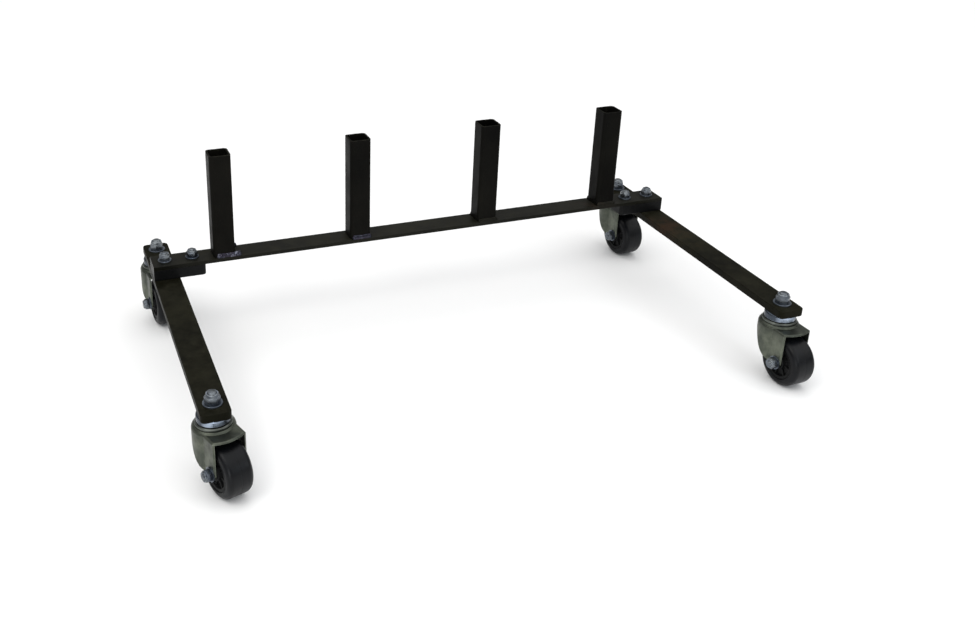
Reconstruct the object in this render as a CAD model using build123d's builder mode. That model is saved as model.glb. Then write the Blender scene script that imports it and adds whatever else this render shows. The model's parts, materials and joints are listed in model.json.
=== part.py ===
from build123d import *
import math
import os

# Rolling storage rack: a crossbar with four open square posts, carried on two
# long legs that roll on four swivel casters.
# Frame: origin on the floor under the middle of the rack's bounding box,
# +X along the crossbar, +Y towards the short end of the legs, +Z up. Millimetres.

# ---------------------------------------------------------------- dimensions
overall_width = 914.4          # crossbar length, flush with the legs' outer edges
bar_depth = 42.0               # crossbar, front to back
bar_thick = 6.35               # crossbar plate thickness
bar_y = 163.93                 # crossbar's centre line

post_size = 35.0               # square tube, outside
post_wall = 3.0
post_corner = 6.0              # outside corner radius of the tube
post_height = 172.0
post_pitch = 228.6             # centre to centre, four posts

leg_width = 41.3
leg_thick = 12.0
leg_ahead = 408.5              # from the crossbar's centre line to the leg's front end
leg_behind = 118.5             # from the crossbar's centre line to the leg's rear end
leg_corner = 7.0               # plan radius at the leg's four corners

bracket_length = 83.0          # riser between crossbar and leg, from the outer edge inwards
bracket_height = 18.0
bracket_corner = 6.0           # radius of its inboard corners in plan

inner_bolt_x = 64.5            # inboard frame bolt, from the crossbar's end
bolt_r = 5.0                   # M10 frame bolts
bolt_hole_r = 5.5
bolt_flats = 16.0
bolt_nut = 8.0                 # hexagon's height
bolt_collar = 2.8              # round collar of the lock nut above the hexagon
bolt_head_h = 6.4
bolt_washer_r = 10.8
bolt_washer_t = 2.0
stem_r = 6.35                  # 1/2 inch threaded stems of the casters
stem_hole_r = 6.8
stem_flats = 19.0
stem_nut = 10.2
stem_collar = 4.0
stem_washer_r = 13.4
stem_washer_t = 2.2

mount_height = 107.0           # underside of the leg above the floor
front_inset = 26.0             # kingpin from the leg's front end
rear_inset = 24.0              # kingpin from the leg's rear end
trail = 31.5                   # wheel axle from the kingpin

wheel_r = 38.1
tyre_width = 39.0
tyre_shoulder = 8.0
core_r = 27.0
bush_r = 7.0
axle_r = 5.0                   # M10 axle bolts, nut on the left cheek
axle_flats = 16.0
axle_head = 3.2                # low round head outside the right cheek
axle_head_r = 7.6
axle_nut_h = 7.0               # hexagon's height
axle_collar = 2.4
axle_end = 0.6                 # bolt's end beyond the collar
axle_washer_r = 10.2           # under the nut
axle_washer_t = 2.0
head_washer_r = 9.0            # under the head
head_washer_t = 1.2
run_gap = 0.05                 # radial clearance of a running fit

fork_half = 24.5               # outside half width of the fork at the axle
fork_t = 2.5
crown_back_r = 29.5            # fork's round back, about the kingpin
crown_front_r = 46.6           # fork's curved front lip, about the kingpin
crown_z = 89.0                 # top of the fork's shoulders
seat_z = 91.5                  # top of its raised race seat
seat_r = 25.6
lug_r = 9.0                    # round end of the fork's cheek, about the axle

upper_race_r = 23.0
upper_race_low = 96.5
lower_race_top = 95.7
ball_r = 3.2
ball_circle = 14.5
ball_count = 12
kingpin_r = 7.0

bead = 5.0                     # leg of a bracket's weld bead
post_bead = 3.4                # how far a post's bead reaches over the bar
bead_tall = 7.5                # how far a post's bead climbs up the post
# where each post's beads start after its left edge and end beyond its right edge
bead_runs = [(4.6, 9.4), (3.0, 1.0), (1.0, 1.5), (1.0, 1.5)]

# heading of each caster about its kingpin, degrees anticlockwise from above
heading = {"fl": 18.0, "fr": 2.5, "rl": 5.0, "rr": 4.5}

# ------------------------------------------------------------ derived levels
leg_bottom = mount_height
leg_top = leg_bottom + leg_thick
bar_bottom = leg_top + bracket_height
bar_top = bar_bottom + bar_thick
post_x = [(k - 1.5) * post_pitch for k in range(4)]
post_names = ["post_outer_left", "post_inner_left", "post_inner_right", "post_outer_right"]
leg_x = overall_width / 2 - leg_width / 2
inner_x = overall_width / 2 - inner_bolt_x
leg_front = bar_y - leg_ahead
leg_rear = bar_y + leg_behind
front_y = leg_front + front_inset
rear_y = leg_rear - rear_inset
axle_z = wheel_r

os.makedirs("parts", exist_ok=True)


def save(piece, label):
    piece.part.label = label
    export_step(piece.part, f"parts/{label}.step")


# ----------------------------------------------------------------- crossbar
with BuildPart() as crossbar:
    with BuildSketch(Plane.XY.offset(bar_bottom)):
        with Locations((0, bar_y)):
            Rectangle(overall_width, bar_depth)
            with Locations((-leg_x, 0), (-inner_x, 0), (inner_x, 0), (leg_x, 0)):
                Circle(bolt_hole_r, mode=Mode.SUBTRACT)
    extrude(amount=bar_thick)
    # rolled edges of the bar, and its deburred ends
    outside = (crossbar.edges().group_by(Axis.Z)[-1] + crossbar.edges().group_by(Axis.Z)[0]).filter_by(GeomType.LINE)
    fillet(outside, 1.0)
save(crossbar, "crossbar")

# -------------------------------------------------------------------- posts
for x, label in zip(post_x, post_names):
    with BuildPart() as post:
        with BuildSketch(Plane.XY.offset(bar_top)):
            with Locations((x, bar_y)):
                RectangleRounded(post_size, post_size, post_corner)
                RectangleRounded(post_size - 2 * post_wall, post_size - 2 * post_wall,
                                 post_corner - post_wall + 0.6, mode=Mode.SUBTRACT)
        extrude(amount=post_height)
        # deburred mouth
        fillet(post.edges().group_by(Axis.Z)[-1], 0.5)
    save(post, label)

# one bead in front of each post and one behind it, in the corner on the bar
with BuildPart() as post_welds:
    for x, (after, beyond) in zip(post_x, bead_runs):
        for s in (-1, 1):
            face_y = bar_y + s * post_size / 2
            start = x - post_size / 2 + after
            with BuildSketch(Plane(origin=(start, face_y, bar_top), x_dir=(0, s, 0), z_dir=(1, 0, 0))):
                with BuildLine():
                    Line((0, 0), (post_bead, 0))
                    ThreePointArc((post_bead, 0), (post_bead * 0.62, s * bead_tall * 0.62), (0, s * bead_tall))
                    Line((0, s * bead_tall), (0, 0))
                make_face()
            extrude(amount=post_size - after + beyond)
save(post_welds, "post_welds")

# --------------------------------------------------------------------- legs
for side, label in ((-1, "leg_left"), (1, "leg_right")):
    with BuildPart() as leg:
        with BuildSketch(Plane.XY.offset(leg_bottom)):
            with Locations((side * leg_x, (leg_front + leg_rear) / 2)):
                RectangleRounded(leg_width, leg_rear - leg_front, leg_corner)
            with Locations((side * leg_x, front_y), (side * leg_x, rear_y)):
                Circle(stem_hole_r, mode=Mode.SUBTRACT)
            with Locations((side * leg_x, bar_y)):
                Circle(bolt_hole_r, mode=Mode.SUBTRACT)
        extrude(amount=leg_thick)
        outside = (leg.edges().group_by(Axis.Z)[-1] + leg.edges().group_by(Axis.Z)[0]).filter_by(
            lambda e: e.geom_type == GeomType.LINE or abs(e.radius - leg_corner) < 0.1)
        fillet(outside, 1.2)
    save(leg, label)

# ----------------------------------------------------------------- brackets
for side, label in ((-1, "bracket_left"), (1, "bracket_right")):
    outer = side * overall_width / 2
    inner = outer - side * bracket_length
    with BuildPart() as bracket:
        with BuildSketch(Plane.XY.offset(leg_top)):
            with Locations(((outer + inner) / 2, bar_y)):
                Rectangle(bracket_length, bar_depth)
            with Locations((side * leg_x, bar_y), (side * inner_x, bar_y)):
                Circle(bolt_hole_r, mode=Mode.SUBTRACT)
        extrude(amount=bracket_height)
        fillet(bracket.edges().filter_by(Axis.Z).filter_by(lambda e: abs(e.center().X - inner) < 1
                                                           and abs(abs(e.center().Y - bar_y) - bar_depth / 2) < 1),
               bracket_corner)
        fillet(bracket.edges().group_by(Axis.Z)[0].filter_by(lambda e: e.geom_type == GeomType.LINE or abs(e.radius - bracket_corner) < 0.1), 1.5)
    save(bracket, label)

# beads under each bracket, along the leg's inner edge
with BuildPart() as bracket_welds:
    for side in (-1, 1):
        edge_x = side * (overall_width / 2 - leg_width)
        with BuildSketch(Plane(origin=(edge_x, bar_y - bar_depth / 2 + 3, leg_top),
                               x_dir=(-side, 0, 0), z_dir=(0, 1, 0))):
            with BuildLine():
                s = -side
                Line((0, 0), (bead, 0))
                ThreePointArc((bead, 0), (bead * 0.6, s * bead * 0.6), (0, s * bead))
                Line((0, s * bead), (0, 0))
            make_face()
        extrude(amount=bar_depth - 6)
save(bracket_welds, "bracket_welds")


# --------------------------------------------------- frame bolts, stem nuts
bolt_spots = [(-leg_x, leg_bottom), (-inner_x, leg_top), (inner_x, leg_top), (leg_x, leg_bottom)]
nut_level = bar_top + bolt_washer_t
shank_top = nut_level + bolt_nut + bolt_collar + 1.6

with BuildPart() as frame_washers:
    with BuildSketch(Plane.XY.offset(bar_top)):
        with Locations(*[(x, bar_y) for x, under in bolt_spots]):
            Circle(bolt_washer_r)
            Circle(bolt_hole_r, mode=Mode.SUBTRACT)
    extrude(amount=bolt_washer_t)
    fillet(frame_washers.edges().filter_by(GeomType.CIRCLE).filter_by(lambda e: e.radius > 10)
           .group_by(Axis.Z)[-1], 0.6)
save(frame_washers, "frame_washers")

# a frame lock nut: a hexagon turned off at its corners, and a round collar above it
with BuildPart() as bolt_lock_nut:
    with BuildSketch(Plane.XY):
        RegularPolygon(bolt_flats / 2, 6, major_radius=False, rotation=30)
    extrude(amount=bolt_nut)
    with BuildSketch(Plane.XZ):
        with BuildLine():
            Polyline((0, 0), (bolt_flats / 2, 0), (bolt_flats / 2 + 2.4, 1.4), (bolt_flats / 2 + 2.4, bolt_nut - 1.4),
                     (bolt_flats / 2, bolt_nut), (0, bolt_nut), close=True)
        make_face()
    revolve(axis=Axis.Z, mode=Mode.INTERSECT)
    with BuildSketch(Plane.XY.offset(bolt_nut)):
        Circle(7.3)
    extrude(amount=bolt_collar)
    fillet(bolt_lock_nut.edges().filter_by(GeomType.CIRCLE).group_by(Axis.Z)[-1], 1.3)
    with BuildSketch(Plane.XY):
        Circle(bolt_r + 0.02)
    extrude(amount=40, mode=Mode.SUBTRACT)

# a caster stem's lock nut, the same shape and larger
with BuildPart() as stem_lock_nut:
    with BuildSketch(Plane.XY):
        RegularPolygon(stem_flats / 2, 6, major_radius=False, rotation=30)
    extrude(amount=stem_nut)
    with BuildSketch(Plane.XZ):
        with BuildLine():
            Polyline((0, 0), (stem_flats / 2, 0), (stem_flats / 2 + 2.8, 1.6), (stem_flats / 2 + 2.8, stem_nut - 1.6),
                     (stem_flats / 2, stem_nut), (0, stem_nut), close=True)
        make_face()
    revolve(axis=Axis.Z, mode=Mode.INTERSECT)
    with BuildSketch(Plane.XY.offset(stem_nut)):
        Circle(8.9)
    extrude(amount=stem_collar)
    fillet(stem_lock_nut.edges().filter_by(GeomType.CIRCLE).group_by(Axis.Z)[-1], 1.7)
    with BuildSketch(Plane.XY):
        Circle(stem_r + 0.02)
    extrude(amount=40, mode=Mode.SUBTRACT)

# a frame bolt's head, chamfered on its lower face
with BuildPart() as bolt_head:
    with BuildSketch(Plane.XY):
        RegularPolygon(bolt_flats / 2, 6, major_radius=False, rotation=30)
    extrude(amount=-bolt_head_h)
    with BuildSketch(Plane.XZ):
        with BuildLine():
            Polyline((0, 0), (bolt_flats / 2 + 2.4, 0), (bolt_flats / 2 + 2.4, 1.4 - bolt_head_h),
                     (bolt_flats / 2, -bolt_head_h), (0, -bolt_head_h), close=True)
        make_face()
    revolve(axis=Axis.Z, mode=Mode.INTERSECT)

with BuildPart() as frame_bolts:
    with Locations(*[(x, bar_y, under) for x, under in bolt_spots]):
        add(bolt_head.part)
    for x, under in bolt_spots:
        with BuildSketch(Plane.XY.offset(under)):
            with Locations((x, bar_y)):
                Circle(bolt_r)
        extrude(amount=shank_top - under)
    chamfer(frame_bolts.edges().group_by(Axis.Z)[-1], 0.9)
save(frame_bolts, "frame_bolts")

with BuildPart() as frame_nuts:
    with Locations(*[(x, bar_y, nut_level) for x, under in bolt_spots]):
        add(bolt_lock_nut.part)
save(frame_nuts, "frame_nuts")

stem_spots = [(-leg_x, front_y), (leg_x, front_y), (-leg_x, rear_y), (leg_x, rear_y)]
with BuildPart() as stem_washers:
    with BuildSketch(Plane.XY.offset(leg_top)):
        with Locations(*stem_spots):
            Circle(stem_washer_r)
            Circle(stem_hole_r, mode=Mode.SUBTRACT)
    extrude(amount=stem_washer_t)
    fillet(stem_washers.edges().filter_by(GeomType.CIRCLE).filter_by(lambda e: e.radius > 10)
           .group_by(Axis.Z)[-1], 0.6)
save(stem_washers, "stem_washers")

with BuildPart() as stem_nuts:
    with Locations(*[(x, y, leg_top + stem_washer_t) for x, y in stem_spots]):
        add(stem_lock_nut.part)
save(stem_nuts, "stem_nuts")


# ------------------------------------------------------------------ casters
def caster_planes(x, y, turn):
    """The caster's own planes: flat, across (front view) and along (side view)."""
    c, s = math.cos(math.radians(turn)), math.sin(math.radians(turn))
    flat = Plane(origin=(x, y, 0), x_dir=(c, s, 0), z_dir=(0, 0, 1))
    across = Plane(origin=(x, y, 0), x_dir=(c, s, 0), z_dir=(s, -c, 0))
    along = Plane(origin=(x, y, 0), x_dir=(-s, c, 0), z_dir=(c, s, 0))
    return flat, across, along


def at(plane, x, y, z):
    """A point given in the caster's own axes: x to its right, y behind, z up."""
    return plane.origin + plane.x_dir * x + plane.y_dir * y + Vector(0, 0, z)


caster_spots = {"fl": (-leg_x, front_y), "fr": (leg_x, front_y),
                "rl": (-leg_x, rear_y), "rr": (leg_x, rear_y)}

stem_end = leg_top + stem_washer_t + stem_nut + stem_collar + 1.9

for key, (kx, ky) in caster_spots.items():
    flat, across, along = caster_planes(kx, ky, heading[key])
    kingpin = Axis((kx, ky, 0), (0, 0, 1))
    axle_at = at(flat, 0, -trail, axle_z)
    axle = Axis(axle_at, flat.x_dir)
    # front view through the axle, for everything that turns about it
    wheel_plane = Plane(origin=axle_at, x_dir=flat.x_dir, z_dir=across.z_dir)

    # kingpin: riveted head below the crown, thick shank, threaded stem above
    with BuildPart() as stem:
        with BuildSketch(across):
            with BuildLine():
                Polyline((0, 84.0), (7.5, 84.0), (10.5, 86.0), (10.5, 88.1), (kingpin_r, 88.1),
                         (kingpin_r, leg_bottom), (stem_r, leg_bottom), (stem_r, stem_end - 1.0),
                         (stem_r - 1.0, stem_end), (0, stem_end), close=True)
            make_face()
        revolve(axis=kingpin)
    save(stem, f"{key}_stem")

    # upper race: an inverted cup fixed under the leg
    with BuildPart() as upper_race:
        with BuildSketch(across):
            with BuildLine():
                Polyline((kingpin_r, 105.0), (18.2, 105.0), (19.2, 104.0), (19.2, upper_race_low), (22.2, upper_race_low),
                         (upper_race_r, upper_race_low + 0.8), (upper_race_r, 103.4))
                ThreePointArc((upper_race_r, 103.4), (upper_race_r - 1.1, 106.0), (upper_race_r - 3.6, leg_bottom))
                Polyline((upper_race_r - 3.6, leg_bottom), (kingpin_r, leg_bottom), (kingpin_r, 105.0))
            make_face()
        revolve(axis=kingpin)
    save(upper_race, f"{key}_upper_race")

    # lower race: a dished ring on the fork with a raised track inside the upper cup
    with BuildPart() as lower_race:
        with BuildSketch(across):
            with BuildLine():
                Polyline((kingpin_r + 0.6, seat_z), (24.4, seat_z), (25.3, 92.4), (25.3, 94.2), (24.0, lower_race_top),
                         (18.0, lower_race_top), (17.4, 98.3), (10.6, 98.3), (10.0, 94.6), (kingpin_r + 0.6, 94.6), close=True)
            make_face()
        revolve(axis=kingpin)
    save(lower_race, f"{key}_lower_race")

    # bearing balls between the races
    with BuildPart() as balls:
        for k in range(ball_count):
            a = 2 * math.pi * k / ball_count
            with Locations(at(flat, ball_circle * math.cos(a), ball_circle * math.sin(a), 98.3 + ball_r)):
                Sphere(ball_r)
    save(balls, f"{key}_bearing_balls")

    # fork: one pressing, a crown with a raised seat and two cheeks down to the axle
    with BuildPart() as fork:
        with BuildSketch(flat.offset(20)) as outline:
            Circle(crown_front_r)
            with Locations((0, -30)):
                Rectangle(2 * fork_half, 60, mode=Mode.INTERSECT)
            Circle(crown_back_r)
            fillet(outline.vertices().filter_by(lambda v: -25 < (v.center() - flat.origin).dot(flat.y_dir) < -5), 22)
        extrude(amount=crown_z - 20)
        top = fork.faces().sort_by(Axis.Z)[-1]
        fillet(top.edges(), 3.2)
        # raised seat with a sloping side
        with BuildSketch(across):
            with BuildLine():
                Polyline((0, crown_z - 1), (29.0, crown_z - 1), (28.4, crown_z + 0.2), (seat_r + 0.6, seat_z), (0, seat_z), close=True)
            make_face()
        revolve(axis=kingpin)
        # hollow below the crown, open at the front
        with BuildSketch(flat.offset(10)):
            with Locations((0, -40)):
                Rectangle(2 * (fork_half - fork_t), 80)
            Circle(crown_back_r - fork_t)
        extrude(amount=crown_z - fork_t - 10, mode=Mode.SUBTRACT)
        with BuildSketch(flat.offset(crown_z - fork_t - 1)):
            Circle(21.0)
        extrude(amount=seat_z - fork_t - (crown_z - fork_t - 1) - 0.6, mode=Mode.SUBTRACT)
        # kingpin hole
        with BuildSketch(flat.offset(80)):
            Circle(kingpin_r + run_gap)
        extrude(amount=20, mode=Mode.SUBTRACT)
        # side view: what lies behind and below the cheeks is cut away
        with BuildSketch(along.offset(-60)):
            with BuildLine():
                p_front = (-trail - lug_r, axle_z)
                p_low = (-trail, axle_z - lug_r)
                p_back = (-trail + lug_r * math.cos(math.radians(-60)), axle_z + lug_r * math.sin(math.radians(-60)))
                Line((-60, axle_z), p_front)
                ThreePointArc(p_front, (-trail + lug_r * math.cos(math.radians(-120)),
                                        axle_z + lug_r * math.sin(math.radians(-120))), p_back)
                Spline(p_back, (-13.6, 35.2), (-1.5, 45.0), (7.2, 58.3), (14.0, 71.0), (34, 80.5),
                       tangents=((math.cos(math.radians(30)), math.sin(math.radians(30))), (1, 0.10)))
                Polyline((34, 80.5), (60, 80.5), (60, 0), (-60, 0), (-60, axle_z))
            make_face()
        extrude(amount=120, mode=Mode.SUBTRACT)
        # axle hole
        with BuildSketch(Plane(origin=at(flat, -60, -trail, axle_z), x_dir=flat.y_dir, z_dir=flat.x_dir)):
            Circle(axle_r + 0.1)
        extrude(amount=120, mode=Mode.SUBTRACT)
    save(fork, f"{key}_fork")

    # axle bolt: low round head on the right cheek's washer, shank across the fork, end beyond the nut at the left
    left = -fork_half - axle_washer_t
    right = fork_half + head_washer_t
    nut_end = left - axle_nut_h - axle_collar
    side_plane = Plane(origin=axle_at, x_dir=flat.y_dir, z_dir=flat.x_dir)
    with BuildPart() as axle_bolt:
        with BuildSketch(side_plane.offset(right)):
            Circle(axle_head_r)
        extrude(amount=axle_head)
        fillet(axle_bolt.edges().sort_by(axle)[-1], 2.0)
        with BuildSketch(side_plane.offset(nut_end - axle_end)):
            Circle(axle_r)
        extrude(amount=right - nut_end + axle_end)
    save(axle_bolt, f"{key}_axle_bolt")

    # lock nut on the left cheek's washer: a hexagon, then its round collar outside
    with BuildPart() as axle_nut:
        with BuildSketch(side_plane.offset(left - axle_nut_h)):
            RegularPolygon(axle_flats / 2, 6, major_radius=False, rotation=20)
            Circle(axle_r + 0.02, mode=Mode.SUBTRACT)
        extrude(amount=axle_nut_h)
        with BuildSketch(side_plane.offset(nut_end)):
            Circle(7.3)
            Circle(axle_r + 0.02, mode=Mode.SUBTRACT)
        extrude(amount=axle_collar)
    save(axle_nut, f"{key}_axle_nut")

    with BuildPart() as axle_washers:
        for face, r, t in ((left, axle_washer_r, axle_washer_t), (fork_half, head_washer_r, head_washer_t)):
            with BuildSketch(side_plane.offset(face)):
                Circle(r)
                Circle(axle_r + 0.2, mode=Mode.SUBTRACT)
            extrude(amount=t)
    save(axle_washers, f"{key}_axle_washers")

    # wheel: bush, moulded core, tyre
    bush_half = fork_half - fork_t - 0.5
    with BuildPart() as bush:
        with BuildSketch(wheel_plane):
            with BuildLine():
                Polyline((-bush_half, axle_r + run_gap), (bush_half, axle_r + run_gap), (bush_half, bush_r - 0.4),
                         (bush_half - 0.4, bush_r), (-bush_half + 0.4, bush_r), (-bush_half, bush_r - 0.4), close=True)
            make_face()
        revolve(axis=axle)
    save(bush, f"{key}_hub_bush")

    hub_half = bush_half - 1.0
    rim_half = tyre_width / 2 - 1.2
    web_half = rim_half - 4.5
    with BuildPart() as core:
        with BuildSketch(wheel_plane):
            with BuildLine():
                Polyline((-hub_half, bush_r), (hub_half, bush_r), (hub_half, 10.4), (hub_half - 1.0, 11.4), (web_half, 12.4),
                         (web_half, 20.8), (rim_half, 22.4), (rim_half, core_r), (-rim_half, core_r),
                         (-rim_half, 22.4), (-web_half, 20.8), (-web_half, 12.4), (-hub_half + 1.0, 11.4),
                         (-hub_half, 10.4), close=True)
            make_face()
        revolve(axis=axle)
    save(core, f"{key}_wheel_core")

    with BuildPart() as tyre:
        with BuildSketch(wheel_plane):
            h, r, q = tyre_width / 2, wheel_r, tyre_shoulder
            with BuildLine():
                Polyline((-h + 1.2, core_r), (h - 1.2, core_r), (h, core_r + 1.4), (h, r - q))
                ThreePointArc((h, r - q), (h - q * (1 - math.cos(math.pi / 4)), r - q * (1 - math.sin(math.pi / 4))), (h - q, r))
                Line((h - q, r), (-h + q, r))
                ThreePointArc((-h + q, r), (-h + q * (1 - math.cos(math.pi / 4)), r - q * (1 - math.sin(math.pi / 4))), (-h, r - q))
                Polyline((-h, r - q), (-h, core_r + 1.4), (-h + 1.2, core_r))
            make_face()
        revolve(axis=axle)
    save(tyre, f"{key}_tyre")
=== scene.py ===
import json
import math

import bpy
import numpy as np
from mathutils import Matrix, Vector


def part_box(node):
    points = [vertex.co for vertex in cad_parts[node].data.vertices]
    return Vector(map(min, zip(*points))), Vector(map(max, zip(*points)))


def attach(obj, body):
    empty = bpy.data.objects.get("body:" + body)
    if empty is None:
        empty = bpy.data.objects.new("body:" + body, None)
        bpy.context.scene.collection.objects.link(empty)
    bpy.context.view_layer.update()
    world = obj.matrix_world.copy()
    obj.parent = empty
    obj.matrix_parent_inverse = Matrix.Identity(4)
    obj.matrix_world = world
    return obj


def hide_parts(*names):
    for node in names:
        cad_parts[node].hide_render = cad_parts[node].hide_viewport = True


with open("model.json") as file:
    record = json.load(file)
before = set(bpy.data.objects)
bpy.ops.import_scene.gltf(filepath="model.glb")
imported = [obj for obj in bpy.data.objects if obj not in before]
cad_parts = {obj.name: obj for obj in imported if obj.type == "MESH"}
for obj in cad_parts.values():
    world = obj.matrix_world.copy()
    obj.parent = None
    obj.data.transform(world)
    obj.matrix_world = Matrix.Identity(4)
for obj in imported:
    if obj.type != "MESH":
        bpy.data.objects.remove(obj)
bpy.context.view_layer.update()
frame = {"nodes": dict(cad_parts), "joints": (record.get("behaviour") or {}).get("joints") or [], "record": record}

scene = bpy.context.scene
scene.view_settings.view_transform = "Standard"
rng = np.random.default_rng(7)
MM = 0.001

# ------------------------------------------------------------------ camera
cam_data = bpy.data.cameras.new("camera")
cam_data.sensor_width = 36.0
cam_data.lens = 1079.27 / 975 * 36
cam_data.shift_x = (487 - 350) / 975
cam_data.shift_y = -(315.5 - 200) / 975
cam = bpy.data.objects.new("camera", cam_data)
scene.collection.objects.link(cam)
cam.location = (-0.62784, -1.38953, 0.90524)
cam.rotation_euler = (math.radians(90 - 23.19), 0, -math.radians(17.88))
scene.camera = cam


# --------------------------------------------------------------- materials
class Nodes:
    """A material's node tree with short calls to add and link nodes."""

    def __init__(self, name):
        self.m = bpy.data.materials.new(name)
        self.m.use_nodes = True
        self.nt = self.m.node_tree
        for n in list(self.nt.nodes):
            self.nt.nodes.remove(n)
        out = self.add("ShaderNodeOutputMaterial")
        self.b = self.add("ShaderNodeBsdfPrincipled")
        self.nt.links.new(self.b.outputs["BSDF"], out.inputs["Surface"])
        self.co = self.add("ShaderNodeTexCoord").outputs["Object"]

    def add(self, kind, **props):
        n = self.nt.nodes.new(kind)
        for k, v in props.items():
            setattr(n, k, v)
        return n

    def put(self, socket, v):
        if isinstance(v, bpy.types.NodeSocket):
            self.nt.links.new(v, socket)
        elif isinstance(v, (tuple, list)):
            socket.default_value = (*v, 1.0) if len(v) == 3 and socket.type == "RGBA" else v
        else:
            socket.default_value = v

    def scaled(self, s):
        n = self.add("ShaderNodeVectorMath", operation="MULTIPLY")
        self.put(n.inputs[0], self.co)
        n.inputs[1].default_value = s
        return n.outputs[0]

    def noise(self, scale, detail=3.0, rough=0.55, distort=0.0, at=None, out="Fac"):
        n = self.add("ShaderNodeTexNoise")
        self.put(n.inputs["Vector"], at if at is not None else self.co)
        n.inputs["Scale"].default_value = scale
        n.inputs["Detail"].default_value = detail
        n.inputs["Roughness"].default_value = rough
        n.inputs["Distortion"].default_value = distort
        return n.outputs[out]

    def voronoi(self, scale, feature="F1", out="Distance", rand=1.0):
        n = self.add("ShaderNodeTexVoronoi", feature=feature)
        self.put(n.inputs["Vector"], self.co)
        n.inputs["Scale"].default_value = scale
        n.inputs["Randomness"].default_value = rand
        return n.outputs[out]

    def ramp(self, v, a, b, lo=0.0, hi=1.0):
        n = self.add("ShaderNodeMapRange")
        n.clamp = True
        self.put(n.inputs["Value"], v)
        n.inputs["From Min"].default_value = a
        n.inputs["From Max"].default_value = b
        n.inputs["To Min"].default_value = lo
        n.inputs["To Max"].default_value = hi
        return n.outputs["Result"]

    def math(self, op, a, b=0.0, clamp=False):
        n = self.add("ShaderNodeMath", operation=op, use_clamp=clamp)
        self.put(n.inputs[0], a)
        self.put(n.inputs[1], b)
        return n.outputs[0]

    def mix(self, f, a, b):
        n = self.add("ShaderNodeMix", data_type="RGBA")
        self.put(n.inputs["Factor"], f)
        self.put(n.inputs[6], a)
        self.put(n.inputs[7], b)
        return n.outputs[2]

    def up(self):
        """1 on faces that look up, 0 on others."""
        g = self.add("ShaderNodeNewGeometry")
        s = self.add("ShaderNodeSeparateXYZ")
        self.put(s.inputs[0], g.outputs["Normal"])
        return self.ramp(s.outputs["Z"], 0.6, 0.95)

    def edges(self, radius):
        """Near 1 along sharp outer edges, 0 on flat faces."""
        g = self.add("ShaderNodeNewGeometry")
        bv = self.add("ShaderNodeBevel", samples=4)
        bv.inputs["Radius"].default_value = radius
        d = self.add("ShaderNodeVectorMath", operation="DOT_PRODUCT")
        self.put(d.inputs[0], g.outputs["Normal"])
        self.put(d.inputs[1], bv.outputs["Normal"])
        return self.ramp(d.outputs["Value"], 0.995, 0.86)

    def facing(self, way, a, b):
        """1 on faces turned towards a fixed direction of the room."""
        g = self.add("ShaderNodeNewGeometry")
        d = self.add("ShaderNodeVectorMath", operation="DOT_PRODUCT")
        self.put(d.inputs[0], g.outputs["Normal"])
        d.inputs[1].default_value = Vector(way).normalized()
        return self.ramp(d.outputs["Value"], a, b)

    def above(self, z0, z1):
        """0 below height z0, 1 above z1, in the object's own frame."""
        sep = self.add("ShaderNodeSeparateXYZ")
        self.put(sep.inputs[0], self.co)
        return self.ramp(sep.outputs["Z"], z0, z1)

    def near(self, point, r0, r1):
        """1 inside r0 of the point, 0 beyond r1."""
        d = self.add("ShaderNodeVectorMath", operation="DISTANCE")
        self.put(d.inputs[0], self.co)
        d.inputs[1].default_value = point
        return self.ramp(d.outputs["Value"], r1, r0)

    def bump(self, height, strength, distance, under=None):
        n = self.add("ShaderNodeBump")
        n.inputs["Strength"].default_value = strength
        n.inputs["Distance"].default_value = distance
        self.put(n.inputs["Height"], height)
        if under is not None:
            self.put(n.inputs["Normal"], under)
        return n.outputs["Normal"]

    def done(self, colour, rough, normal=None, metallic=0.0, specular=0.5, **extra):
        self.put(self.b.inputs["Base Color"], colour)
        self.put(self.b.inputs["Roughness"], rough)
        self.put(self.b.inputs["Metallic"], metallic)
        self.b.inputs["Specular IOR Level"].default_value = specular
        for k, v in extra.items():
            self.b.inputs[k].default_value = v
        if normal is not None:
            self.put(self.b.inputs["Normal"], normal)
        return self.m


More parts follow.
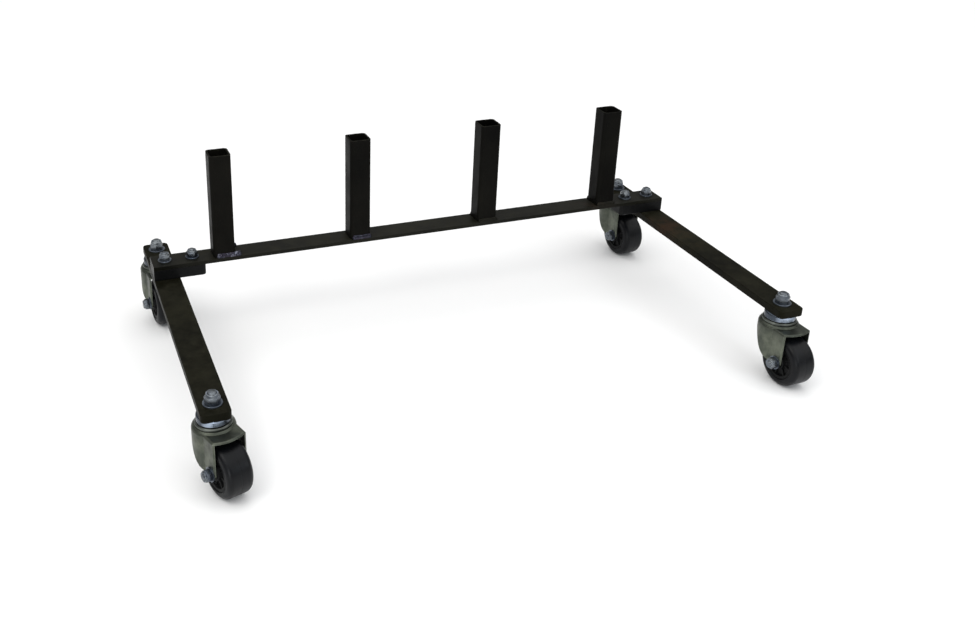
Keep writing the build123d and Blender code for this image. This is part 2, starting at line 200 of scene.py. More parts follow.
def paint(name, tone, light, spec=0.09, tint_at=None, worn=0.45):
    """Semi-gloss olive-black paint: cloudy tone, orange peel, thin brown-grey edges, dust on top."""
    n = Nodes(name)
    cloud = n.noise(9.0, 4.0)
    streak = n.noise(26.0, 5.0, 0.6, 0.6, at=n.scaled((1.0, 1.0, 0.35)))
    c = n.mix(n.ramp(cloud, 0.35, 0.68), tone, light)
    c = n.mix(n.math("MULTIPLY", n.ramp(streak, 0.55, 0.75), 0.35), c, tuple(v * 0.55 for v in tone))
    dust = n.math("MULTIPLY", n.math("MULTIPLY", n.up(), n.ramp(n.noise(55.0, 6.0, 0.7), 0.42, 0.8)), 0.45)
    c = n.mix(dust, c, (0.034, 0.033, 0.023))
    specks = n.math("MULTIPLY", n.ramp(n.noise(700.0, 2.0), 0.70, 0.78), 0.25)
    c = n.mix(specks, c, (0.075, 0.070, 0.055))
    # worn edges, lighter brown-grey
    edge_lightening = n.math("MULTIPLY", n.edges(0.0011), n.ramp(n.noise(85.0, 5.0, 0.7), 0.44, 0.62))
    c = n.mix(n.math("MULTIPLY", edge_lightening, worn), c, (0.060, 0.055, 0.042))
    if tint_at is not None:
        for point, r, shade in tint_at:
            patch = n.math("MULTIPLY", n.near(point, r * 0.15, r), n.ramp(n.noise(48.0, 5.0, 0.65), 0.40, 0.62))
            c = n.mix(n.math("MULTIPLY", patch, 0.7), c, shade)
    rough = n.math("ADD", n.ramp(n.noise(34.0, 4.0), 0.3, 0.7, 0.33, 0.50), n.math("MULTIPLY", dust, 0.8))
    peel = n.bump(n.noise(330.0, 2.0), 0.22, 0.0005)
    flaw = n.bump(n.noise(46.0, 3.0), 0.16, 0.0012, peel)
    return n.done(c, rough, flaw, 0.0, spec)


def zinc(name, base, other, rough=(0.28, 0.46), scratch=True, metal=0.92, dirt=0.35, painted_side_shade=None, painted_shade_high=None):
    """Zinc-plated steel: mottled crystals, a chromate tint that wanders, fine scratches, grime. Edges are lighter,
    partly as wear and partly as a painted highlight; optional painted shade on faces turned away from a given
    direction and above a given height.
    """
    n = Nodes(name)
    cloud = n.noise(38.0, 4.0, 0.6, 0.4)
    cell = n.voronoi(430.0, out="Color")
    bw = n.add("ShaderNodeRGBToBW")
    n.put(bw.inputs[0], cell)
    c = n.mix(n.ramp(cloud, 0.36, 0.66), base, other)
    c = n.mix(n.math("MULTIPLY", n.ramp(bw.outputs[0], 0.3, 0.8), 0.22), c, tuple(min(1.0, v * 1.5) for v in base))
    # painted shade: faces turned away from the given direction are darkened, as on a cylinder lit from the front
    if painted_side_shade is not None:
        way, shade, a, b = painted_side_shade
        c = n.mix(n.facing(way, a, b), tuple(v * shade for v in base), c)
    # painted shade: darker above the given height, in patches, as if shaded by what is above
    if painted_shade_high is not None:
        z0, z1, k = painted_shade_high
        c = n.mix(n.math("MULTIPLY", n.math("MULTIPLY", n.above(z0, z1), n.ramp(n.noise(30.0, 3.0), 0.2, 0.6, 0.5, 1.0)), k), c, (0.016, 0.018, 0.016))
    grime = n.math("MULTIPLY", n.ramp(n.noise(75.0, 6.0, 0.72), 0.52, 0.80), dirt)
    c = n.mix(grime, c, (0.030, 0.029, 0.022))
    # lighter edges: partly wear, partly a painted highlight
    edge_lightening = n.math("MULTIPLY", n.edges(0.0008), 0.45)
    c = n.mix(edge_lightening, c, tuple(min(1.0, v * 2.1) for v in other))
    r = n.math("ADD", n.ramp(n.noise(120.0, 4.0), 0.3, 0.7, rough[0], rough[1]), n.math("MULTIPLY", grime, 0.5))
    nor = n.bump(n.noise(260.0, 3.0), 0.10, 0.0005)
    if scratch:
        lines = n.noise(520.0, 2.0, 0.5, 0.0, at=n.scaled((1.0, 1.0, 0.06)))
        nor = n.bump(lines, 0.10, 0.0003, nor)
    return n.done(c, r, nor, metal, 0.5)


def weld_metal(name, painted_shine=1.0):
    """Weld bead under a thin coat: heat tints from blue to violet and straw, on rippled steel, with painted
    highlights in bright bluish patches and streaks, scaled by the second argument.
    """
    n = Nodes(name)
    a = n.noise(120.0, 4.0, 0.6, 0.8)
    b = n.noise(230.0, 3.0)
    c = n.mix(n.ramp(a, 0.38, 0.62), (0.016, 0.018, 0.030), (0.028, 0.022, 0.038))
    # painted highlight: bright bluish patches
    c = n.mix(n.math("MULTIPLY", n.ramp(b, 0.52, 0.72), 0.55 * painted_shine), c, (0.17, 0.18, 0.22))
    c = n.mix(n.math("MULTIPLY", n.ramp(n.noise(60.0, 5.0, 0.7), 0.50, 0.70), 0.6), c, (0.008, 0.008, 0.008))
    # painted highlight: the crests painted bright, in streaks that lean with the ripples
    streak = n.noise(90.0, 3.0, 0.6, 1.2, at=n.scaled((1.6, 1.0, 1.0)))
    c = n.mix(n.math("MULTIPLY", n.ramp(streak, 0.54, 0.64), 0.6 * painted_shine), c, (0.24, 0.25, 0.31))
    nor = n.bump(n.noise(520.0, 4.0), 0.18, 0.0004)
    return n.done(c, n.ramp(b, 0.3, 0.7, 0.20, 0.36), nor, 0.75, 0.5)


def rubber(name):
    n = Nodes(name)
    cloud = n.noise(60.0, 5.0, 0.6)
    c = n.mix(n.ramp(cloud, 0.35, 0.7), (0.0012, 0.0014, 0.0020), (0.0034, 0.0041, 0.0056))
    scuff = n.math("MULTIPLY", n.ramp(n.noise(210.0, 5.0, 0.75, 0.6), 0.58, 0.76), 0.22)
    c = n.mix(scuff, c, (0.030, 0.031, 0.033))
    nor = n.bump(n.noise(900.0, 2.0), 0.18, 0.0003)
    nor = n.bump(n.noise(130.0, 3.0), 0.12, 0.0008, nor)
    return n.done(c, n.math("ADD", n.ramp(cloud, 0.3, 0.7, 0.32, 0.46), scuff), nor, 0.0, 0.18)


def plastic(name):
    n = Nodes(name)
    cloud = n.noise(45.0, 3.0)
    c = n.mix(n.ramp(cloud, 0.35, 0.7), (0.0026, 0.0028, 0.0030), (0.0052, 0.0054, 0.0058))
    c = n.mix(n.math("MULTIPLY", n.ramp(n.noise(160.0, 5.0, 0.7), 0.55, 0.75), 0.25), c, (0.016, 0.015, 0.013))
    grain = n.bump(n.voronoi(1500.0), 0.10, 0.0003)
    return n.done(c, n.ramp(n.noise(90.0, 3.0), 0.3, 0.7, 0.42, 0.60), grain, 0.0, 0.12)


def nylon(name):
    n = Nodes(name)
    c = n.mix(n.ramp(n.noise(300.0, 3.0), 0.35, 0.7), (0.16, 0.19, 0.24), (0.26, 0.30, 0.36))
    return n.done(c, n.ramp(n.noise(200.0, 2.0), 0.3, 0.7, 0.40, 0.55), n.bump(n.noise(700.0, 2.0), 0.15, 0.0003), 0.0, 0.4)


def steel(name, base=(0.32, 0.33, 0.34)):
    n = Nodes(name)
    c = n.mix(n.ramp(n.noise(180.0, 4.0), 0.4, 0.7), base, tuple(v * 0.6 for v in base))
    return n.done(c, n.ramp(n.noise(260.0, 3.0), 0.3, 0.7, 0.14, 0.30), n.bump(n.noise(500.0, 2.0), 0.06, 0.0003), 1.0, 0.5)


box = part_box
leg_lo, leg_hi = box("leg_right")
M_BAR = paint("paint_bar", (0.0036, 0.0036, 0.0023), (0.0090, 0.0086, 0.0052),
              tint_at=[((0.33, 0.165, 0.143), 0.05, (0.022, 0.016, 0.012))])
M_LEG = paint("paint_leg", (0.0038, 0.0037, 0.0022), (0.0105, 0.0100, 0.0056), 0.028,
              tint_at=[((leg_lo.x + 0.012, 0.075, leg_hi.z), 0.055, (0.030, 0.016, 0.009)),
                       ((leg_lo.x + 0.02, 0.02, leg_hi.z), 0.05, (0.022, 0.018, 0.009))])
M_BRACKET = paint("paint_bracket", (0.0034, 0.0036, 0.0038), (0.0068, 0.0070, 0.0070))
M_POST = paint("paint_post", (0.0034, 0.0033, 0.0030), (0.0074, 0.0070, 0.0056), 0.022, None, 0.7)
# two copies of the weld: one with full painted highlights, one with its painted highlights turned down
M_WELD = weld_metal("weld_metal")
M_WELD_FAINT_HIGHLIGHT = weld_metal("weld_metal_faint_highlight", 0.22)
# the fork's upper part, under the leg, gets painted shade
M_FORK = zinc("fork_zinc", (0.058, 0.065, 0.054), (0.140, 0.152, 0.118), (0.34, 0.50), painted_shade_high=(0.068, 0.088, 0.45))
M_SEAT = zinc("lower_race_zinc", (0.060, 0.066, 0.060), (0.135, 0.145, 0.130), (0.28, 0.42), scratch=False, dirt=0.5)
# the upper race gets painted shade on the faces turned away from the front, leaving a lit band facing front
M_RACE = zinc("race_zinc", (0.26, 0.31, 0.39), (0.42, 0.49, 0.60), (0.22, 0.34), scratch=False, dirt=0.35,
              painted_side_shade=((-0.22, -0.97, 0.0), 0.20, 0.72, 0.97))
M_HARD = zinc("hardware_zinc", (0.066, 0.077, 0.096), (0.215, 0.232, 0.240), (0.22, 0.36), dirt=0.55)
M_WASH = zinc("washer_zinc", (0.070, 0.084, 0.108), (0.165, 0.185, 0.215), (0.26, 0.40), dirt=0.6)
M_NYLON = nylon("nylon_insert")
M_STEEL = steel("bearing_steel")
M_BUSH = steel("bush_steel", (0.22, 0.22, 0.21))
M_RUBBER = rubber("tyre_rubber")
M_CORE = plastic("wheel_core")


# ------------------------------------------------------------ mesh helpers
def mesh_object(name, verts, faces, material, body, sharp=34.0):
    me = bpy.data.meshes.new(name)
    me.from_pydata([tuple(map(float, v)) for v in verts], [], faces)
    me.validate()
    me.update()
    me.shade_smooth()
    me.set_sharp_from_angle(angle=math.radians(sharp))
    o = bpy.data.objects.new(name, me)
    scene.collection.objects.link(o)
    me.materials.append(material)
    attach(o, body)
    return o


class Mesh:
    """Gathers vertices and faces of one or more closed shells."""

    def __init__(self):
        self.v, self.f = [], []

    def rings(self, rows, loop=False):
        """Joins rings of points into a skin. A ring of one point is a pole. loop joins the last ring to the first."""
        at = []
        for row in rows:
            row = np.atleast_2d(np.asarray(row, float))
            at.append((len(self.v), len(row)))
            self.v.extend(map(tuple, row))
        pairs = list(zip(at, at[1:])) + ([(at[-1], at[0])] if loop else [])
        for (a, na), (b, nb) in pairs:
            n = max(na, nb)
            for i in range(n):
                j = (i + 1) % n
                if na == 1 and nb > 1:
                    self.f.append((a, b + i, b + j))
                elif nb == 1 and na > 1:
                    self.f.append((a + i, b, a + j))
                elif na > 1:
                    self.f.append((a + i, b + i, b + j, a + j))
        return self

    def placed(self, matrix):
        self.v = [tuple(matrix @ Vector(p)) for p in self.v]
        return self

    def joined(self, other):
        k = len(self.v)
        self.v.extend(other.v)
        self.f.extend([tuple(i + k for i in f) for f in other.f])
        return self

    def make(self, name, material, body, slot, sharp=34.0):
        o = mesh_object(name, self.v, self.f, material, body, sharp)
        import bmesh
        bm = bmesh.new()
        bm.from_mesh(o.data)
        bmesh.ops.recalc_face_normals(bm, faces=bm.faces)
        bm.to_mesh(o.data)
        bm.free()
        o.data.shade_smooth()
        o.data.set_sharp_from_angle(angle=math.radians(sharp))
        return o


def circle(r, z, n=96, turn=0.0):
    a = np.linspace(0, 2 * math.pi, n, endpoint=False) + turn
    return np.stack([r * np.cos(a), r * np.sin(a), np.full(n, z)], 1)


def rounded(points, radii, closed=False, n=5):
    """A polyline in (r, z) with its corners rounded."""
    P = [np.array(p, float) for p in points]
    out = []
    m = len(P)
    for i, p in enumerate(P):
        r = radii[i] if isinstance(radii, (list, tuple)) else radii
        if r <= 0 or (not closed and i in (0, m - 1)):
            out.append(p)
            continue
        a, b = P[i - 1] - p, P[(i + 1) % m] - p
        la, lb = np.linalg.norm(a), np.linalg.norm(b)
        a, b = a / la, b / lb
        half = math.acos(max(-1, min(1, float(a @ b)))) / 2
        if half > math.radians(88):
            out.append(p)
            continue
        d = min(r / math.tan(half), la * 0.48, lb * 0.48)
        r = d * math.tan(half)
        s, e = p + a * d, p + b * d
        c = p + (a + b) / np.linalg.norm(a + b) * (r / math.sin(half))
        a0, a1 = s - c, e - c
        t0, t1 = math.atan2(a0[1], a0[0]), math.atan2(a1[1], a1[0])
        dt = (t1 - t0 + math.pi) % (2 * math.pi) - math.pi
        for k in range(n + 1):
            t = t0 + dt * k / n
            out.append(c + r * np.array([math.cos(t), math.sin(t)]))
    return out


def lathe(profile, n=96, loop=True):
    """Rings of a profile of (r, z) points, in mm."""
    rows = [circle(r, z, n) if r > 1e-6 else [(0, 0, z)] for r, z in profile]
    return Mesh().rings(rows, loop=loop)


def hex_radius(flats, a, soft=0.35):
    """Radius of a hexagon with slightly rounded corners, at angles a."""
    k = (a + math.pi / 6) % (math.pi / 3) - math.pi / 6
    r = flats / 2 / np.cos(k)
    top = flats / 2 / math.cos(math.pi / 6) - soft
    return np.minimum(r, top - 0.5 * soft * (k / (math.pi / 6)) ** 0)


def hexagon(flats, r_cham, h, low_chamfer=True, high_chamfer=True, n=144):
    """Rings of a hexagon's outside from z 0 to h, its corners turned off at 30 degrees."""
    a = np.linspace(0, 2 * math.pi, n, endpoint=False)
    k = (a + math.pi / 6) % (math.pi / 3) - math.pi / 6
    r = flats / 2 / np.cos(k)
    cap = flats / 2 / math.cos(math.pi / 6) - 0.22
    r = np.minimum(r, cap)
    drop = np.maximum(0, r - r_cham) * math.tan(math.radians(30)) + 0.10
    cs, sn = np.cos(a), np.sin(a)

    def ring(rad, z):
        return np.stack([rad * cs, rad * sn, np.broadcast_to(z, a.shape)], 1)

    rows = []
    if low_chamfer:
        rows += [ring(np.minimum(r_cham, r) - 0.15, 0.0), ring(np.minimum(r_cham, r), 0.03), ring(r - 0.05, drop - 0.02), ring(r, drop + 0.10)]
    else:
        rows += [ring(r - 0.15, 0.0), ring(r, 0.15)]
    if high_chamfer:
        rows += [ring(r, h - drop - 0.10), ring(r - 0.05, h - drop + 0.02), ring(np.minimum(r_cham, r), h - 0.03), ring(np.minimum(r_cham, r) - 0.15, h)]
    else:
        rows += [ring(r, h - 0.15), ring(r - 0.15, h)]
    return rows


def lock_nut(flats, h, collar_r, collar_h, bore):
    """A nylon-insert lock nut: chamfered hexagon, crimped collar. Returns the nut and its nylon ring."""
    n = 144
    rows = [circle(bore, 0.6, n), circle(bore + 0.6, 0.0, n)]
    rows += hexagon(flats, flats / 2 * 0.985, h, True, True, n)
    top = h + collar_h
    for r, z in rounded([(collar_r + 0.7, h), (collar_r, h + 0.15), (collar_r - 0.15, top - 0.9), (collar_r - 1.5, top), (bore + 1.75, top - 0.05), (bore + 1.6, top - 0.9)],
                        [0, 0.5, 1.0, 0.5, 0.2, 0], n=5):
        rows.append(circle(r, z, n))
    rows.append(circle(bore + 1.6, h + 0.3, n))
    rows.append(circle(bore, h + 0.2, n))
    nut = Mesh().rings(rows, loop=True)
    ring = [(bore + 0.02, h + 0.5), (bore + 1.55, h + 0.5), (bore + 1.55, top - 0.75), (bore + 0.9, top - 0.55), (bore + 0.15, top - 0.75)]
    return nut, Mesh().rings([circle(r, z, n) for r, z in rounded(ring, 0.15, closed=True, n=3)], loop=True)


def thread(r, z0, z1, pitch, depth, n=72):
    """Rings of a right-hand thread from z0 up to a chamfered end at z1."""
    a = np.linspace(0, 2 * math.pi, n, endpoint=False)
    rows = []
    step = pitch / 9
    for z in np.arange(z0, z1 - 0.02, step):
        ph = (z / pitch - a / (2 * math.pi)) % 1.0
        tri = np.abs(ph * 2 - 1)
        d = depth * np.clip((tri - 0.12) / 0.76, 0, 1)
        fade = min(1.0, (z - z0) / pitch)
        cut = max(0.0, (z - (z1 - 1.1)) / 1.1)
        rad = np.minimum(r - d * fade, r - cut * 1.15)
        rows.append(np.stack([rad * np.cos(a), rad * np.sin(a), np.full(n, z)], 1))
    rows.append(circle(r - 1.25, z1, n))
    rows.append([(0, 0, z1 - 0.05)])
    return rows


def turned(x, y, z, angle=0.0):
    """Millimetres about the local origin to metres at a point, turned about Z."""
    return Matrix.Translation((x, y, z)) @ Matrix.Rotation(angle, 4, "Z") @ Matrix.Scale(MM, 4)


# -------------------------------------------------------- where things are
nodes, record = frame["nodes"], frame["record"]
joints = {j["name"]: j for j in frame["joints"]}
casters = {}
for k in ("fl", "fr", "rl", "rr"):
    s, w = joints[f"{k}_swivel_turn"], joints[f"{k}_wheel_roll"]
    casters[k] = {"pin": Vector(s["pos_m"]), "axle": Vector(w["pos_m"]), "dir": Vector(w["axis"]).normalized()}

bar_lo, bar_hi = box("crossbar")
bar_mid = (bar_lo.y + bar_hi.y) / 2
bar_top = bar_hi.z
sw_lo, sw_hi = box("stem_washers")
fw_lo, fw_hi = box("frame_washers")
sn_lo, sn_hi = box("stem_nuts")
fn_lo, fn_hi = box("frame_nuts")
fb_lo, fb_hi = box("frame_bolts")
legs = {"left": box("leg_left"), "right": box("leg_right")}
bracket = {"left": box("bracket_left"), "right": box("bracket_right")}
leg_x = (legs["right"][0].x + legs["right"][1].x) / 2
inner_x = bar_hi.x - 0.0645
bolt_xs = [-leg_x, -inner_x, inner_x, leg_x]

# ----------------------------------------------- carried-over CAD surfaces
looks = {"crossbar": M_BAR, "leg_left": M_LEG, "leg_right": M_LEG, "bracket_left": M_BRACKET, "bracket_right": M_BRACKET,
         "frame_washers": M_WASH, "stem_washers": M_WASH}
for p in ("post_outer_left", "post_inner_left", "post_inner_right", "post_outer_right"):
    looks[p] = M_POST
for k in casters:
    looks.update({f"{k}_upper_race": M_RACE, f"{k}_lower_race": M_SEAT, f"{k}_bearing_balls": M_STEEL, f"{k}_fork": M_FORK,
                  f"{k}_axle_washers": M_WASH, f"{k}_hub_bush": M_BUSH})
for name, m in looks.items():
    o = nodes[name]
    if o.material_slots:
        for s in o.material_slots:
            s.link = "OBJECT"
            s.material = m
    else:
        o.data.materials.append(m)


# ------------------------------------------------------------ stem hardware
def lock_nut_pieces(tag, x, y, z, flats, h, collar_r, collar_h, bore, turn, replaced, body="frame"):
    nut, ring = lock_nut(flats, h, collar_r, collar_h, bore)
    m = turned(x, y, z, turn)
    a = nut.placed(m).make(f"{tag}_nut", M_HARD, body, "hardware_zinc", 24)
    b = ring.placed(m).make(f"{tag}_nylon", M_NYLON, body, "hardware_zinc", 40)
    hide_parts(replaced)
    return a, b


for i, (k, c) in enumerate(casters.items()):
    p = c["pin"]
    h = (sn_hi.z - sn_lo.z) / MM
    lock_nut_pieces(f"{k}_stem", p.x, p.y, sn_lo.z, 19.0, h - 4.0, 8.9, 4.0, 6.4, [0.35, 0.1, -0.2, 0.55][i], "stem_nuts")
    lo, hi = box(f"{k}_stem")
    foot, tip = lo.z / MM, hi.z / MM
    under = leg_lo.z / MM
    prof = [(0.0, foot), (7.2, foot), (8.6, foot + 0.5), (10.3, foot + 2.0), (10.4, foot + 4.0), (6.98, foot + 4.05),
            (6.98, under - 0.3), (6.3, under + 0.2)]
    rows = [circle(r, z, 72) if r > 0 else [(0, 0, z)] for r, z in prof]
    rows += thread(6.33, under + 1.0, tip, 1.95, 0.95)
    s = Mesh().rings(rows).placed(turned(p.x, p.y, 0.0, 0.4 * i))
    s = s.make(f"{k}_stem_threaded", M_HARD, "frame", "hardware_zinc", 30)
    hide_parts(f"{k}_stem")

# --------------------------------------------------------- frame bolts, nuts
for i, x in enumerate(bolt_xs):
    tag = f"frame_{i}"
    h = (fn_hi.z - fn_lo.z) / MM
    lock_nut_pieces(tag, x, bar_mid, fn_lo.z, 16.0, h - 2.8, 7.3, 2.8, 5.05, [0.9, 0.25, 0.6, 0.1][i], "frame_nuts")
    under = (leg_lo.z if abs(abs(x) - leg_x) < 1e-4 else leg_hi.z) / MM
    top = fb_hi.z / MM
    head = hexagon(16.0, 7.8, 6.4, True, False)
    rows = [[(0, 0, 0.7)], circle(6.6, 0.7, 144), circle(7.0, 0.08, 144)] + head + [circle(5.3, 6.4, 144), circle(4.98, 6.8, 144)]
    rows = [np.asarray(r, float) + np.array([0, 0, under - 6.4]) for r in rows]
    rows += [circle(4.98, (fw_lo.z / MM) - 2.0, 144)] + thread(4.98, (fw_lo.z / MM) - 1.0, top, 1.5, 0.85, 144)
    b = Mesh().rings(rows).placed(turned(x, bar_mid, 0.0, 0.3 + 0.5 * i))
    b = b.make(f"{tag}_bolt", M_HARD, "frame", "hardware_zinc", 26)
    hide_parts("frame_bolts")


# -------------------------------------------------------------------- welds
def weld(length, wide, tall, period, seed, start_fat=1.0, end_fat=1.0, amp=0.42):
    """A bead along +X in a corner: +Y out of the upright face, +Z up. Millimetres. A run of overlapped puddles."""
    g = np.random.default_rng(seed)
    rows = []
    steps = int(length / 0.22)
    drift = np.interp(np.linspace(0, 1, steps + 1), np.linspace(0, 1, 9), g.uniform(-1, 1, 9))
    lean = np.interp(np.linspace(0, 1, steps + 1), np.linspace(0, 1, 7), g.uniform(-1, 1, 7))
    m = 18
    for i in range(steps + 1):
        x = length * i / steps
        end = min(1.0, x / 3.2, (length - x) / 3.6)
        s = math.sqrt(max(0.0, 1 - (1 - end) ** 2))
        if s < 0.02:
            rows.append([(x, 0.1, 0.1)] if i in (0, steps) else None)
            continue
        fat = 1 + 0.06 * drift[i] + (start_fat - 1) * math.exp(-(x / 5.0) ** 2) + (end_fat - 1) * math.exp(-((length - x - 4.0) / 5.0) ** 2)
        a = wide * s * min(fat, 1.02)
        b = tall * s * fat * (1 + 0.05 * lean[i])
        ring = []
        for q in range(m + 1):
            v = q / m
            t = v * math.pi / 2
            yy, zz = a * math.cos(t) ** 0.92, b * math.sin(t) ** 0.92
            arc = (v - 0.5) ** 2 * 4
            ph = (x - 1.15 * (1 - arc) + 0.35 * drift[i]) / period % 1.0
            step = (ph ** 1.7 - 0.38) * amp * s * (0.35 + 0.65 * math.sin(math.pi * v))
            ny, nz = math.cos(t), math.sin(t)
            ring.append((x, max(0.0, yy + step * ny), max(0.0, zz + step * nz)))
        ring.append((x, -0.25, b * 0.9))
        ring.append((x, -0.25, -0.25))
        ring.append((x, a * 0.9, -0.25))
        rows.append(ring)
    rows = [r for r in rows if r is not None]
    return Mesh().rings(rows)


posts = ["post_outer_left", "post_inner_left", "post_inner_right", "post_outer_right"]
runs = [((4.4, 9.8, 1.0, 1.14, 6.9), (4.6, 9.0, 1.0, 1.0, 6.4)),
        ((2.8, 1.4, 1.0, 1.04, 6.6), (3.0, 1.0, 1.0, 1.0, 6.4)),
        ((1.0, 1.5, 1.0, 1.0, 5.6), (1.0, 1.5, 1.0, 1.0, 6.0)),
        ((1.0, 1.5, 1.0, 1.0, 5.6), (1.0, 1.5, 1.0, 1.0, 6.0))]
for i, p in enumerate(posts):
    lo, hi = box(p)
    for side, (after, beyond, fat0, fat1, tall) in zip((-1, 1), runs[i]):
        length = (hi.x - lo.x) / MM - after + beyond
        w = weld(length, 2.85, tall, 6.4 if i == 0 else 5.2 if i == 1 else 3.4, 11 + 3 * i + side, fat0, fat1, 0.62 if i == 0 else 0.5 if i == 1 else 0.35)
        face = lo.y if side < 0 else hi.y
        m = Matrix.Translation((lo.x + after * MM, face, bar_top)) @ Matrix.Scale(MM, 4)
        if side < 0:
            m = m @ Matrix.Scale(-1, 4, (0, 1, 0))
        o = w.placed(m).make(f"{p}_weld_{'front' if side < 0 else 'back'}", (M_WELD, M_WELD_FAINT_HIGHLIGHT, M_BAR, M_BAR)[i], "frame", "weld_paint", 60)
        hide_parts("post_welds")

wlo, whi = box("bracket_welds")
for side in (-1, 1):
    edge = side * (bar_hi.x - (legs["right"][1].x - legs["right"][0].x))
    w = weld((whi.y - wlo.y) / MM, 4.5, 4.5, 3.6, 40 + side, amp=0.5)
    # along +Y, out of the bracket's underside towards the middle of the rack
    base = Vector((edge, wlo.y, leg_hi.z))
    R = Matrix(((0, -side, 0, 0), (1, 0, 0, 0), (0, 0, 1, 0), (0, 0, 0, 1)))
    m = Matrix.Translation(base) @ R @ Matrix.Scale(MM, 4)
    o = w.placed(m).make(f"bracket_weld_{'left' if side < 0 else 'right'}", M_WELD_FAINT_HIGHLIGHT, "frame", "weld_paint", 60)
    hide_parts("bracket_welds")

# seam inside each tube, and the ripple of its burr
for i, p in enumerate(posts):
    lo, hi = box(p)
    z0, z1 = lo.z / MM + 1, hi.z / MM - 1.2
    rows = []
    for z in np.linspace(z0, z1, 60):
        wob = 0.12 * math.sin(z * 0.8 + i) + 0.08 * math.sin(z * 2.1)
        ring = [(-1.3 + wob, 0.15, z), (-1.0 + wob, -0.25, z), (-0.4 + wob, -0.55, z), (0.4 + wob, -0.55, z), (1.0 + wob, -0.25, z), (1.3 + wob, 0.15, z)]
        rows.append(ring)
    rows = [[(0, 0.1, z0 - 0.2)]] + rows + [[(0, 0.1, z1 + 0.2)]]
    m = Matrix.Translation(((lo.x + hi.x) / 2 + 0.004, hi.y - 0.003, 0)) @ Matrix.Scale(MM, 4)
    Mesh().rings(rows).placed(m).make(f"{p}_seam", M_POST, "frame", "frame_paint", 50)


# ------------------------------------------------------------------ casters
def across(axle, d):
    """Local Z along the axle's direction, millimetres to metres."""
    z = Vector((d.x, d.y, 0)).normalized()
    y = Vector((0, 0, 1))
    x = y.cross(z)
    m = Matrix(((x.x, y.x, z.x, axle.x), (x.y, y.y, z.y, axle.y), (x.z, y.z, z.z, axle.z), (0, 0, 0, 1)))
    return m @ Matrix.Scale(MM, 4)


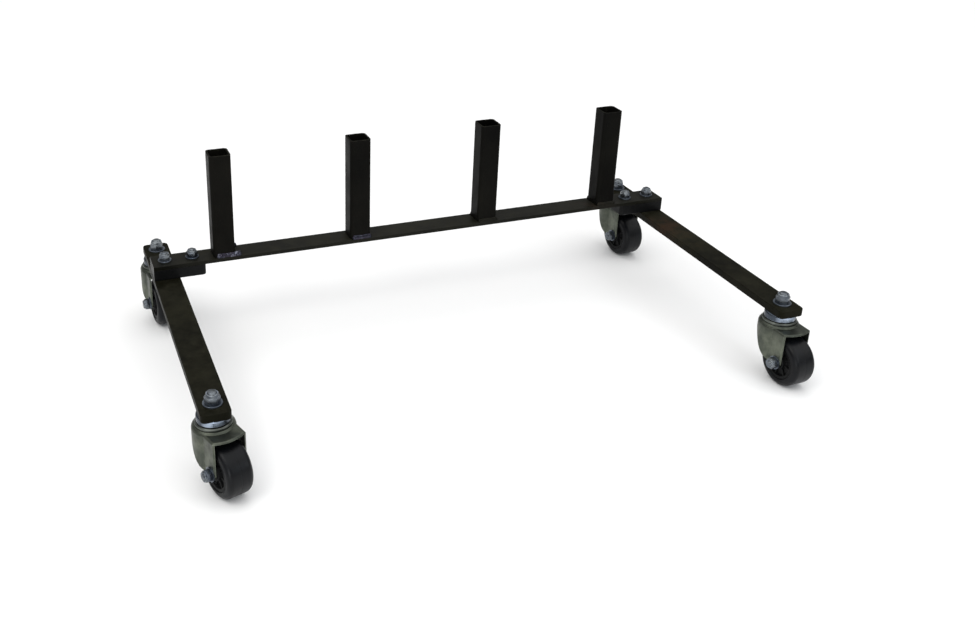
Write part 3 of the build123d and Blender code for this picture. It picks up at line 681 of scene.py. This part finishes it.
for i, (k, c) in enumerate(casters.items()):
    m = across(c["axle"], c["dir"])
    inv = m.inverted()

    def span(node):
        """Lowest and highest place of a CAD node along its axle, in mm."""
        co = np.array([v.co for v in nodes[node].data.vertices], float)
        z = (co - np.array(c["axle"])) @ np.array(c["dir"]) / MM
        return float(z.min()), float(z.max())

    # tyre: round shoulders, a mould's parting line, a rim band on each side
    t0, t1 = span(f"{k}_tyre")
    h = (t1 - t0) / 2
    r, core, q = 38.1, 27.0, 8.0
    half = [(core, 0.0), (core, h - 1.3), (core + 0.5, h - 0.45), (core + 1.3, h - 0.05), (core + 1.9, h - 0.35), (core + 2.6, h - 0.35), (core + 3.0, h)]
    for t in np.linspace(0, math.pi / 2, 15):
        half.append((r - q * (1 - math.sin(t)), h - q * (1 - math.cos(t))))
    half += [(r, 3.0), (r, 0.55), (r - 0.02, 0.3), (r - 0.12, 0.2)]
    prof = [(a, -b) for a, b in half] + [(a, b) for a, b in half[::-1]]
    prof = prof[1:-1]
    tyre = lathe(prof, 160, loop=True).placed(m).make(f"{k}_tyre_moulded", M_RUBBER, f"{k}_wheel", "tyre_rubber", 40)
    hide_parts(f"{k}_tyre")

    # moulded core: boss, web with ribs, rim
    c0, c1 = span(f"{k}_wheel_core")
    hub = (c1 - c0) / 2
    rim = h - 1.2
    web = rim - 4.5
    side = [(7.02, hub - 0.5), (7.5, hub), (10.4, hub), (11.4, hub - 1.0), (12.1, web + 0.8), (12.9, web), (20.4, web), (21.5, web + 0.9), (22.4, rim - 0.3), (22.9, rim), (26.4, rim), (26.98, rim - 0.5)]
    prof = side + [(a, -b) for a, b in side[::-1]]
    body = lathe(rounded(prof, 0.35, closed=True, n=3), 128, loop=True)
    for s in (1, -1):
        for j in range(8):
            a = 2 * math.pi * j / 8 + 0.2
            rib = []
            for rr in np.linspace(11.6, 22.2, 9):
                w = 1.35 - 0.25 * math.sin(math.pi * (rr - 11.6) / 10.6)
                top = web + 2.9 - 0.5 * math.sin(math.pi * (rr - 11.6) / 10.6)
                rib.append([(rr, -w - 0.3, s * (web - 0.5)), (rr, -w, s * (top - 0.5)), (rr, -w + 0.45, s * top), (rr, w - 0.45, s * top), (rr, w, s * (top - 0.5)), (rr, w + 0.3, s * (web - 0.5))])
            g = Mesh().rings([[(11.6, 0, s * web)]] + rib + [[(22.2, 0, s * web)]])
            g.placed(Matrix.Rotation(a, 4, "Z"))
            body.joined(g)
    core_o = body.placed(m).make(f"{k}_core_moulded", M_CORE, f"{k}_wheel", "wheel_core", 32)
    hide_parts(f"{k}_wheel_core")

    # axle: lock nut and thread end outside the left cheek, a round head outside the right one
    b0, b1 = span(f"{k}_axle_bolt")
    n0, n1 = span(f"{k}_axle_nut")
    out = m @ Matrix.Rotation(math.pi, 4, "X")
    top = -b1
    dome = rounded([(0.0, top + 1.3), (2.6, top + 1.3), (2.75, top + 0.25), (4.6, top + 0.02), (7.2, top + 1.2), (7.58, top + 2.2), (7.58, top + 3.2), (4.98, top + 3.25)], [0, 0.1, 0.3, 2.5, 1.0, 0.4, 0.2, 0], n=4)
    rows = [circle(r_, z_, 144) if r_ > 1e-6 else [(0, 0, z_)] for r_, z_ in dome]
    rows += [circle(4.98, -n1 - 2.0, 144)] + thread(4.98, -n1 - 1.0, -b0, 1.5, 0.85, 144)
    ab = Mesh().rings(rows).placed(out @ Matrix.Rotation(0.2 + 0.35 * i, 4, "Z")).make(f"{k}_axle_bolt_hex", M_HARD, f"{k}_swivel", "hardware_zinc", 26)
    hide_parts(f"{k}_axle_bolt")
    nut, ring = lock_nut(16.0, n1 - n0 - 2.4, 7.3, 2.4, 5.05)
    mm = out @ Matrix.Translation((0, 0, -n1)) @ Matrix.Rotation(0.1 + 0.3 * i, 4, "Z")
    an = nut.placed(mm).make(f"{k}_axle_lock_nut", M_HARD, f"{k}_swivel", "hardware_zinc", 24)
    ring.placed(mm).make(f"{k}_axle_nylon", M_NYLON, f"{k}_swivel", "hardware_zinc", 40)
    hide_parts(f"{k}_axle_nut")

# ------------------------------------------------------------ floor, lights
bpy.ops.mesh.primitive_plane_add(size=30, location=(0, 0, -0.0002))
floor = bpy.context.object
floor.name = "floor"
n = Nodes("floor")
floor.data.materials.append(n.done((0.90, 0.90, 0.90), 0.95, None, 0.0, 0.05))

world = bpy.data.worlds.new("world")
scene.world = world
world.use_nodes = True
wt = world.node_tree
bg = wt.nodes["Background"]
bg.inputs["Color"].default_value = (1, 1, 1, 1)
# a bright ceiling over darker walls
tc = wt.nodes.new("ShaderNodeTexCoord")
sep = wt.nodes.new("ShaderNodeSeparateXYZ")
mr = wt.nodes.new("ShaderNodeMapRange")
mr.clamp = True
wt.links.new(tc.outputs["Generated"], sep.inputs[0])
wt.links.new(sep.outputs["Z"], mr.inputs["Value"])
for k_, v_ in (("From Min", 0.45), ("From Max", 0.75), ("To Min", 0.22), ("To Max", 1.62)):
    mr.inputs[k_].default_value = v_
wt.links.new(mr.outputs["Result"], bg.inputs["Strength"])


def area(name, loc, target, size, power, colour=(1, 1, 1)):
    d = bpy.data.lights.new(name, "AREA")
    d.shape = "RECTANGLE"
    d.size, d.size_y = size
    d.energy = power
    d.color = colour
    o = bpy.data.objects.new(name, d)
    scene.collection.objects.link(o)
    o.location = loc
    o.rotation_euler = (Vector(target) - Vector(loc)).to_track_quat("-Z", "Y").to_euler()
    return o


area("key", (-1.7, -0.9, 2.3), (0, 0, 0.1), (1.2, 1.2), 14, (1.0, 0.99, 0.95))
area("low_front", (-1.1, -2.3, 0.50), (0, -0.1, 0.1), (0.5, 0.35), 12, (0.93, 0.96, 1.0))
area("side", (0.75, -1.25, 0.6), (-0.43, -0.27, 0.05), (0.25, 0.5), 2.6, (0.88, 0.95, 1.0))
area("fill", (2.2, -1.2, 1.6), (0, 0, 0.1), (1.6, 1.6), 5)
